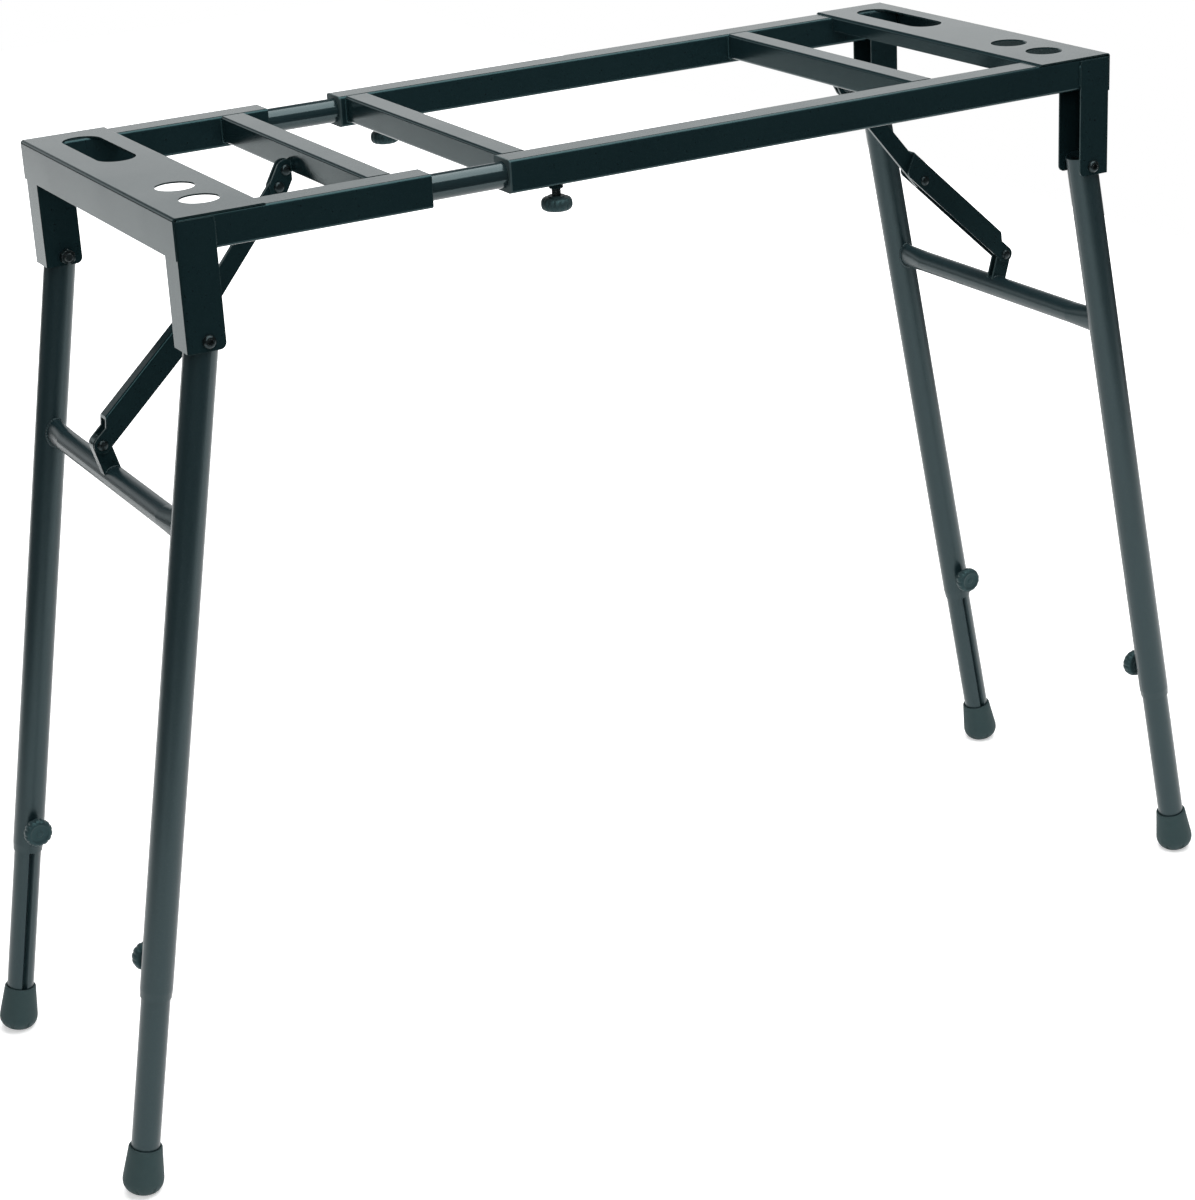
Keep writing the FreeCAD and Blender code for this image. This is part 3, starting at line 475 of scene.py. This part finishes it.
def section_welds():
    for end, hand in HAND.items():
        body = SECTION[end]
        piece = Piece()
        for name in CROSSMEMBERS[body]:
            crossmember_welds(piece, name)
        bracket_welds(piece, hand)
        clevis_welds(piece, hand)
        if body == "main_section":
            clamp_boss_welds(piece)
        piece.done(f"{body}_welds", body, "frame_black")


def leg_frame_welds():
    for end in HAND:
        piece = Piece()
        for side in SIDES.values():
            piece.bead(crossbar_seam(end, side), WIDE_WELD, closed=True)
            piece.bead(boss_seam(end, side), FINE_WELD, closed=True)
        for way in (-1, 1):
            piece.bead(tab_seam(end, KNEE.y + way * TAB_HALF), FINE_WELD)
        piece.done(f"{end}_leg_frame_welds", f"{end}_leg_frame", "tube_black")


def on_tube(end, side, out, up):
    """The point of a leg tube's inner side at a place across and along it."""
    depth = math.sqrt((LEG_RADIUS + OFF) ** 2 - out ** 2)
    return leg_point(end, out, side * (LEG_Y - depth), up)


def crossbar_seam(end, side):
    """Round the flattened end of the crossbar, on the leg tube."""
    half_out = 8.3 * MM
    half_up = 13.5 * MM
    steps = 110
    return [on_tube(end, side, half_out * math.cos(angle), half_up * math.sin(angle) - CROSSBAR_DROP)
            for angle in turn_of(steps)]


def boss_seam(end, side):
    """Round the threaded boss of a leg knob, on the leg tube."""
    steps = 66
    return [on_tube(end, side, BOSS_RADIUS * math.cos(angle), BOSS_RADIUS * math.sin(angle) - KNOB_DROP)
            for angle in turn_of(steps)]


def tab_seam(end, y):
    """Along the foot of the brace tab, over the crossbar's round."""
    lean = math.atan2(CROSSBAR_DROP - TAB_RIVET_DROP, TAB_RIVET_OUT)
    half = math.radians(47)
    radius = 11.2 * MM
    steps = 30
    path = []
    for step in range(steps + 1):
        angle = lean - half + 2 * half * step / steps
        path.append(leg_point(end, radius * math.cos(angle), y, radius * math.sin(angle) - CROSSBAR_DROP))
    return path


# Bolts, nuts, rivets and threads; profile rows are (radius, height) in millimetres

BRACKET_HALF = 17 * MM
BOLT_RADIUS = 4 * MM
RIVET_RADIUS = 3 * MM
SOCKET = 5
NUT_WIDTH = 13
BOLT_HEAD = [(3.9, -2), (6, 0), (6, 1.3), (5.75, 2.2), (5.1, 3.1), (4.2, 3.75), (3.5, 4), (SOCKET, 4),
             (SOCKET, 1.7)]
NUT = [(4.5, 0), (6.6, 0), (7.6, 0.5), (7.6, 6), (6.6, 6.5), (4.4, 6.5), (4.1, 6.1), (3.95, 6.1),
       (3.95, 8.1), (3.5, 8.5)]
RIVET_HEAD = [(3, -1), (5, 0), (5, 0.5), (4.7, 1.1), (4.1, 1.75), (3.1, 2.2), (1.8, 2.45), (0.6, 2.5)]
CLEVIS_GRIP = 4.35 * MM
BRACE_GRIP = 7.35 * MM
CHEEK = 2 * MM


def hexagon_radius(angle, across_flats):
    """How far a hexagon's rim is from its middle in one direction."""
    turned = (angle + math.pi / 6) % (math.pi / 3) - math.pi / 6
    return across_flats / 2 / math.cos(turned)


def head_shape(angle, radius, height):
    """Round, but for the hexagon socket."""
    return hexagon_radius(angle, SOCKET * MM) if radius == SOCKET * MM else radius


def nut_shape(angle, radius, height):
    """The nut's six flats, cut back to a chamfer where the profile is narrower."""
    return min(hexagon_radius(angle, NUT_WIDTH * MM), radius)


def pivot_bolt(piece, end, side):
    """A button head with a hexagon socket outside, a nut and the bolt's end inside, and the shank."""
    outside = leg_point(end, 0, side * (LEG_Y + BRACKET_HALF), 0)
    inside = leg_point(end, 0, side * (LEG_Y - BRACKET_HALF), 0)
    piece.turned(outside, side * Y, X, in_metres(BOLT_HEAD), shape=head_shape)
    piece.turned(inside, -side * Y, X, in_metres(NUT), shape=nut_shape)
    piece.turned(inside, side * Y, X, [(BOLT_RADIUS, 0), (BOLT_RADIUS, 2 * BRACKET_HALF)], count=32)


def bolts():
    for end in HAND:
        piece = Piece()
        for side in SIDES.values():
            pivot_bolt(piece, end, side)
        piece.done(f"{end}_bolts", SECTION[end], "hardware", [f"{end}_pivot_bolts"])


def rivet_heads(piece, centre, grip):
    """Two domed heads along y, each at a grip's distance from the middle."""
    for way in (-1, 1):
        piece.turned(centre + way * grip * Y, way * Y, X, in_metres(RIVET_HEAD), count=32)


def rivet_shank(piece, start, axis, length):
    piece.turned(start, axis, X, [(RIVET_RADIUS, 0), (RIVET_RADIUS, length)], count=24)


def rivets():
    """The clevis rivets and the knee's go right through; the tab's are a stub in each cheek."""
    for end, hand in HAND.items():
        clevis = Piece()
        for place in (CLEVIS_HINGE, FIXED_CLEVIS_RIVET):
            centre = on_hand(hand, place)
            rivet_heads(clevis, centre, CLEVIS_GRIP)
            rivet_shank(clevis, centre - CLEVIS_GRIP * Y, Y, 2 * CLEVIS_GRIP)
        clevis.done(f"{end}_clevis_pins", SECTION[end], "hardware", [f"{end}_clevis_rivets"])
        brace = Piece()
        knee = on_hand(hand, KNEE)
        rivet_heads(brace, knee, BRACE_GRIP)
        rivet_shank(brace, knee - BRACE_GRIP * Y, Y, 2 * BRACE_GRIP)
        tab = leg_point(end, TAB_RIVET_OUT, KNEE.y, -TAB_RIVET_DROP)
        rivet_heads(brace, tab, BRACE_GRIP)
        for way in (-1, 1):
            rivet_shank(brace, tab + way * (BRACE_GRIP - CHEEK) * Y, way * Y, CHEEK)
        brace.done(f"{end}_brace_pins", f"{end}_brace_channel", "hardware", [f"{end}_brace_rivets"])


def thread(piece, start, length, radius):
    """A raised helix along z on the bare part of a screw."""
    pitch = 1.25 * MM
    half_root = 0.5 * MM
    root = radius - 0.1 * MM
    crest = radius + 0.35 * MM
    steps = 24
    rings = []
    for step in range(int(steps * length / pitch) + 1):
        angle = 2 * math.pi * step / steps
        spoke = Vector((math.cos(angle), math.sin(angle), 0))
        base = start + pitch * step / steps * Z
        rings.append([base + root * spoke - half_root * Z, base + crest * spoke,
                      base + root * spoke + half_root * Z])
    piece.skin(rings)


def clamp_threads():
    """The thread of each width clamp's screw, bare between its knob and its boss."""
    clear = 0.7 * MM
    length = 5.6 * MM
    for side in SIDES:
        piece = Piece()
        thread(piece, anchors[f"{side}_clamp_turn"] + clear * Z, length, BOLT_RADIUS)
        piece.done(f"clamp_thread_{side}", f"clamp_knob_{side}", "hardware")


# Knobs and feet; profile rows are (radius, height) in millimetres

KNOB = [
    (7.5, 0), (7.5, 1.1), (8.2, 1.25), (10.4, 1.45), (12.2, 2.1), (13.4, 3.4), (14.05, 5.2), (14.25, 7.2),
    (14.2, 9.0), (13.7, 10.8), (12.7, 12.1), (11.3, 12.9), (10.2, 13.2), (9.4, 13.1), (8.9, 12.6),
    (8.2, 12.35), (5.2, 12.2), (3.4, 12.2), (3.1, 12.55), (2.2, 12.75), (0.8, 12.8),
]
FLUTES = 14
FLUTE_DEPTH = 0.85 * MM
FLUTE_SHARPNESS = 1.5
FLUTE_ROOT = 11.5 * MM
FLUTE_FADE = 2.2 * MM


def knob_shape(angle, radius, height):
    """Shallow flutes round the widest part, fading out towards the two faces."""
    reach = min(1, max(0, (radius - FLUTE_ROOT) / FLUTE_FADE))
    dip = max(0, math.cos(FLUTES * angle)) ** FLUTE_SHARPNESS
    return radius - FLUTE_DEPTH * reach * dip


def knob(name, body, joint):
    """A knob seated at its joint's anchor, its face along the joint's axis."""
    piece = Piece()
    piece.turned(anchors[joint], axes[joint], X, in_metres(KNOB), count=12 * FLUTES, shape=knob_shape)
    piece.done(name, body, "knob_plastic", [body])


def knobs():
    for side in SIDES:
        knob(f"clamp_grip_{side}", f"clamp_knob_{side}", f"{side}_clamp_turn")
        for end in HAND:
            knob(f"{end}_leg_grip_{side}", f"{end}_leg_knob_{side}", f"{end}_{side}_knob_turn")


FOOT = [(3, 0), (6.65, 0), (8.9, 0.2), (11.1, 0.83), (13.1, 1.84), (14.9, 3.2), (16.5, 4.9), (17.75, 6.9),
        (18.6, 9.0), (19.05, 11.2), (19.15, 13), (19.15, 14.5), (18.45, 21), (17.4, 30), (16.2, 40.5),
        (15.7, 45.4), (15.2, 46.4), (14.1, 46.5), (13.6, 46.2), (13.5, 43)]
NOTCHES = 7
NOTCH_DEPTH = 1.3 * MM
NOTCH_HALF = math.radians(5)
NOTCH_LOW = 2.5 * MM
NOTCH_HIGH = 10 * MM


def foot_shape(angle, radius, height):
    """Short upright notches round the curve of the sole."""
    part = 2 * math.pi / NOTCHES
    away = abs((angle + part / 2) % part - part / 2)
    notched = away < NOTCH_HALF and NOTCH_LOW < height < NOTCH_HIGH
    return radius - NOTCH_DEPTH if notched else radius


def feet():
    """A foot along each leg, its sole cut level with the floor."""
    for end, hand in HAND.items():
        up = Vector((-hand * math.sin(SPLAY), 0, math.cos(SPLAY)))
        across = Vector((hand * math.cos(SPLAY), 0, math.sin(SPLAY)))
        for side_name, side in SIDES.items():
            sole = leg_point(end, 0, side * LEG_Y, -SOLE_DROP)
            piece = Piece()
            piece.turned(sole, up, across, in_metres(FOOT), count=18 * NOTCHES, shape=foot_shape)
            for vertex in piece.mesh.verts:
                vertex.co.z = max(vertex.co.z, 0)
            body = f"{end}_inner_leg_{side_name}"
            piece.done(f"{end}_rubber_foot_{side_name}", body, "rubber", [f"{end}_foot_{side_name}"])


# The studio: a pale floor, a white wall behind and soft light from above


def combined(tree, operation, one, other):
    """The result of a math operation on two sockets."""
    node = tree.nodes.new("ShaderNodeMath")
    node.operation = operation
    tree.links.new(one, node.inputs[0])
    tree.links.new(other, node.inputs[1])
    return node.outputs[0]


def seen_ray(tree):
    """1 for rays from the camera and for those that gloss or glass sends on."""
    rays = tree.nodes.new("ShaderNodeLightPath").outputs
    sent_on = combined(tree, "MAXIMUM", rays["Is Glossy Ray"], rays["Is Transmission Ray"])
    return combined(tree, "MAXIMUM", rays["Is Camera Ray"], sent_on)


def ranged(tree, value, to_low, to_high, low=0, high=1):
    """Lays low..high of a value out over another range, clamped."""
    node = tree.nodes.new("ShaderNodeMapRange")
    tree.links.new(value, node.inputs["Value"])
    for name, number in (("From Min", low), ("From Max", high), ("To Min", to_low), ("To Max", to_high)):
        node.inputs[name].default_value = number
    return node.outputs["Result"]


def see_through_from_below(tree):
    """Lets rays that meet the sheet's underside pass."""
    result = next(node for node in tree.nodes if node.type == "OUTPUT_MATERIAL")
    surface = result.inputs["Surface"].links[0].from_socket
    choice = tree.nodes.new("ShaderNodeMixShader")
    below = tree.nodes.new("ShaderNodeNewGeometry").outputs["Backfacing"]
    tree.links.new(below, choice.inputs[0])
    tree.links.new(surface, choice.inputs[1])
    tree.links.new(tree.nodes.new("ShaderNodeBsdfTransparent").outputs[0], choice.inputs[2])
    tree.links.new(choice.outputs[0], result.inputs["Surface"])


def floor():
    """A pale sheet on the ground, wide enough for the stand's reflections and brighter far from it."""
    left, right, near, far = -2.05, 2.3, -1.4, 5.5
    mesh = bpy.data.meshes.new("floor")
    mesh.from_pydata([(left, near, 0), (right, near, 0), (right, far, 0), (left, far, 0)],
                     [], [(0, 1, 2, 3)])
    item = bpy.data.objects.new("floor", mesh)
    bpy.context.scene.collection.objects.link(item)
    paint = Nodes("floor_paint")
    grain = paint.noise(40, 3)
    paint.set(Base_Color=paint.mix(grain, (0.90, 0.90, 0.90, 1), (0.94, 0.94, 0.94, 1)))
    paint.set(Roughness=0.9, Specular_IOR_Level=0.1, Emission_Color=(1, 1, 1, 1))
    away = paint.add("ShaderNodeVectorMath", {0: paint.place}, operation="LENGTH").outputs["Value"]
    near_glow = 0.45
    far_glow = 1.5
    glow = paint.product(paint.spread(away, 0.8, 3.2, near_glow, far_glow), seen_ray(paint.tree))
    paint.set(Emission_Strength=glow)
    see_through_from_below(paint.tree)
    mesh.materials.append(paint.material)


def lamp(name, place, target, width, height, power):
    light = bpy.data.lights.new(name, "AREA")
    light.shape = "RECTANGLE"
    light.size = width
    light.size_y = height
    light.energy = power
    item = bpy.data.objects.new(name, light)
    bpy.context.scene.collection.objects.link(item)
    item.location = place
    item.rotation_euler = (Vector(target) - Vector(place)).to_track_quat("-Z", "Y").to_euler()
    item.visible_camera = False


def studio():
    """White for the camera; for light and gloss a low white wall behind and a dim room elsewhere."""
    world = bpy.data.worlds.new("studio")
    bpy.context.scene.world = world
    world.use_nodes = True
    tree = world.node_tree
    background = tree.nodes["Background"]
    background.inputs["Color"].default_value = (1, 1, 1, 1)
    heading = tree.nodes.new("ShaderNodeTexCoord").outputs["Generated"]
    parts = tree.nodes.new("ShaderNodeSeparateXYZ")
    tree.links.new(heading, parts.inputs["Vector"])
    behind = ranged(tree, parts.outputs["Y"], 0, 1, 0.05, 0.4)
    raised = ranged(tree, parts.outputs["Z"], 0, 1, -0.05, 0.12)
    below_top = ranged(tree, parts.outputs["Z"], 1, 0, 0.27, 0.36)
    wall = combined(tree, "MULTIPLY", combined(tree, "MULTIPLY", behind, raised), below_top)
    room = ranged(tree, wall, 0.10, 1.15)
    sight = tree.nodes.new("ShaderNodeMix")
    tree.links.new(tree.nodes.new("ShaderNodeLightPath").outputs["Is Camera Ray"], sight.inputs[0])
    tree.links.new(room, sight.inputs[2])
    sight.inputs[3].default_value = 1
    tree.links.new(sight.outputs[0], background.inputs["Strength"])
    lamp("softbox_above", (0.3, -0.5, 3.0), (0.3, -0.5, 0), 3.2, 3.2, 140)
    lamp("front_fill", (-1.6, -2.8, 2.4), (0, 0, 0.6), 1.2, 1.2, 30)
    bpy.context.scene.view_settings.view_transform = "Standard"


# The camera stands where the photograph was taken

CAMERA_PLACE = Vector((-1.2751, -2.3465, 1.4582))
CAMERA_YAW = math.radians(-27.55)
CAMERA_PITCH = math.radians(-20.95)
CAMERA_ROLL = math.radians(-3.34)
FOCAL_PIXELS = 2824.6
PHOTO_WIDTH = 1195
PHOTO_HEIGHT = 1200
CENTRE_PIXEL = (554.7, 554.3)


def camera():
    lens = bpy.data.cameras.new("camera")
    item = bpy.data.objects.new("camera", lens)
    bpy.context.scene.collection.objects.link(item)
    forward = Vector((-math.sin(CAMERA_YAW) * math.cos(CAMERA_PITCH),
                      math.cos(CAMERA_YAW) * math.cos(CAMERA_PITCH), math.sin(CAMERA_PITCH)))
    level = Vector((math.cos(CAMERA_YAW), math.sin(CAMERA_YAW), 0))
    upright = level.cross(forward)
    right = math.cos(CAMERA_ROLL) * level + math.sin(CAMERA_ROLL) * upright
    up = -math.sin(CAMERA_ROLL) * level + math.cos(CAMERA_ROLL) * upright
    turn = Matrix((right, up, -forward)).transposed()
    item.matrix_world = Matrix.Translation(CAMERA_PLACE) @ turn.to_4x4()
    lens.sensor_width = 36
    lens.lens = lens.sensor_width * FOCAL_PIXELS / PHOTO_HEIGHT
    lens.shift_x = (PHOTO_WIDTH / 2 - CENTRE_PIXEL[0]) / PHOTO_HEIGHT
    lens.shift_y = (CENTRE_PIXEL[1] - PHOTO_HEIGHT / 2) / PHOTO_HEIGHT
    lens.clip_end = 50
    bpy.context.scene.camera = item


dress_nodes()
section_welds()
leg_frame_welds()
bolts()
rivets()
clamp_threads()
knobs()
feet()
floor()
studio()
camera()
